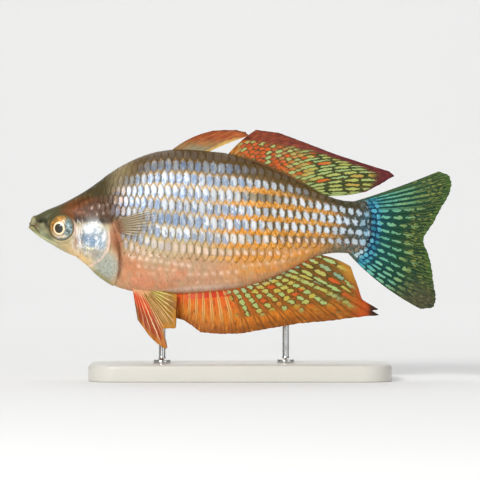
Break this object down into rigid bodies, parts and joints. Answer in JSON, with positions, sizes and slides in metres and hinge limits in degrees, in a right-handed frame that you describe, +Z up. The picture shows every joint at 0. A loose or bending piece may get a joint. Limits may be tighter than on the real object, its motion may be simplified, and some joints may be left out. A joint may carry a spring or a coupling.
{
  "type": "rainbowfish museum model",
  "caption": "Life-size still model of a male checkered rainbowfish, seen swimming, on a plain flat base with short rods.",
  "frame": {"origin": "on the table, under the middle of the fish's length and in the middle plane of its body, at the underside of the stand's base", "axes": "+X back along the fish from snout to tail fin, +Z up, and the fish's left side, which the picture shows, faces -Y"},
  "size_m": [0.1267, 0.044, 0.075],
  "materials": {
    "skin": "scaled skin, olive back, blue-white and orange rows on the side, pinkish belly, a metallic sheen",
    "stalk_skin": "scaled skin, grey-blue checks in rows",
    "gill_cover": "smooth silver-blue bone under skin",
    "eye": "polished, gold and silver with a dark pupil",
    "dorsal_front": "ribbed web, brown-orange, greyish at the root",
    "dorsal_rear": "ribbed web, brown-red with orange and pale green checks and a dark maroon margin",
    "anal": "ribbed web, orange with rows of pale green spots",
    "tail": "ribbed web, blue-green to olive with yellow-green dashes",
    "pectoral": "clear ribbed web, faintly yellow",
    "pelvic": "ribbed web, red-orange with pale rays",
    "lacquer": "plain pale satin lacquer",
    "steel": "polished rod"
  },
  "bodies": {
    "root": {"head": "skin", "lower_jaw": "skin", "gill_cover_left": "gill_cover", "gill_cover_right": "gill_cover", "eye_left": "eye", "eye_right": "eye", "trunk": "skin", "tail_stalk": "stalk_skin", "dorsal_fin_front": "dorsal_front", "dorsal_fin_rear": "dorsal_rear", "anal_fin": "anal", "tail_fin": "tail", "pectoral_fin_left": "pectoral", "pectoral_fin_right": "pectoral", "pelvic_fin_left": "pelvic", "pelvic_fin_right": "pelvic", "stand_base": "lacquer", "stand_rod_front": "steel", "stand_rod_rear": "steel"}
  },
  "joints": []
}
